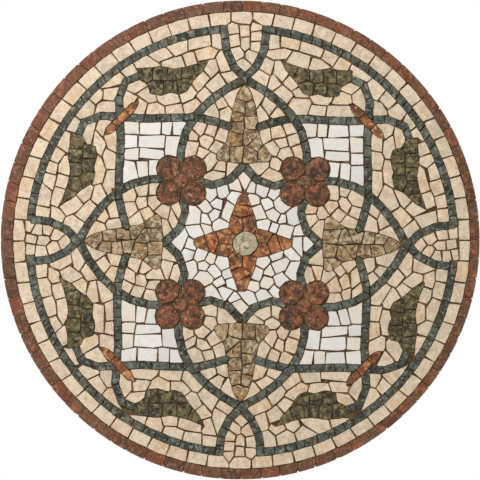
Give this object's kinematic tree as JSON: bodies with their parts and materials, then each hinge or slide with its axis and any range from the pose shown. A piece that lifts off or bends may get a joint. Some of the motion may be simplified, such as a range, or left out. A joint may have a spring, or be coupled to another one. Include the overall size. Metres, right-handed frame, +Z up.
{
  "type": "mosaic panel",
  "caption": "Round wall panel of laid stone pieces on a thin bed: interlaced green bands, leaves, flowers and a star on cream and white fields in a red edge ring",
  "frame": {"origin": "centre of the flat back of the setting bed, which lies on the wall", "axes": "+Z up the wall, +X to the right as one looks at the stones, +Y into the wall; the stones face -Y"},
  "size_m": [0.6, 0.0113, 0.6],
  "materials": {
    "setting_bed": "rough tan setting adhesive",
    "red_stone": "tumbled red brown marble",
    "cream_stone": "tumbled cream limestone",
    "white_stone": "tumbled white marble",
    "green_stone": "tumbled dark green marble",
    "olive_stone": "dark olive stone with fine veins",
    "ochre_stone": "ochre limestone",
    "orange_stone": "orange brown marble",
    "petal_stone": "mottled red brown marble",
    "star_stone": "orange marble",
    "centre_stone": "pale speckled granite"
  },
  "bodies": {
    "root": {"setting_bed": "setting_bed", "border_ring": "red_stone", "cream_ring": "cream_stone", "interlace": "green_stone", "white_centre_field": "white_stone", "star": "star_stone", "centre_stone": "centre_stone", "leaf_field_upper_right": "cream_stone", "leaf_field_upper_left": "cream_stone", "leaf_field_lower_left": "cream_stone", "leaf_field_lower_right": "cream_stone", "white_corner_field_upper_right": "white_stone", "white_corner_field_upper_left": "white_stone", "white_corner_field_lower_left": "white_stone", "white_corner_field_lower_right": "white_stone", "leaf_stem_upper_right": "green_stone", "leaf_stem_upper_left": "green_stone", "leaf_stem_lower_left": "green_stone", "leaf_stem_lower_right": "green_stone", "flower_upper_right": "petal_stone", "flower_upper_left": "petal_stone", "flower_lower_left": "petal_stone", "flower_lower_right": "petal_stone", "dart_upper_right": "orange_stone", "dart_upper_left": "orange_stone", "dart_lower_left": "orange_stone", "dart_lower_right": "orange_stone", "spear_top": "ochre_stone", "spear_left": "ochre_stone", "spear_bottom": "ochre_stone", "spear_right": "ochre_stone", "scallop_band_top": "green_stone", "scallop_band_left": "green_stone", "scallop_band_bottom": "green_stone", "scallop_band_right": "green_stone", "leaf_1_oclock": "olive_stone", "leaf_2_oclock": "olive_stone", "leaf_10_oclock": "olive_stone", "leaf_11_oclock": "olive_stone", "leaf_7_oclock": "olive_stone", "leaf_8_oclock": "olive_stone", "leaf_4_oclock": "olive_stone", "leaf_5_oclock": "olive_stone", "spear_field_1_oclock": "cream_stone", "spear_field_2_oclock": "cream_stone", "spear_field_10_oclock": "cream_stone", "spear_field_11_oclock": "cream_stone", "spear_field_7_oclock": "cream_stone", "spear_field_8_oclock": "cream_stone", "spear_field_4_oclock": "cream_stone", "spear_field_5_oclock": "cream_stone", "scallop_field_1_oclock": "cream_stone", "scallop_field_2_oclock": "cream_stone", "scallop_field_10_oclock": "cream_stone", "scallop_field_11_oclock": "cream_stone", "scallop_field_7_oclock": "cream_stone", "scallop_field_8_oclock": "cream_stone", "scallop_field_4_oclock": "cream_stone", "scallop_field_5_oclock": "cream_stone"}
  },
  "joints": []
}
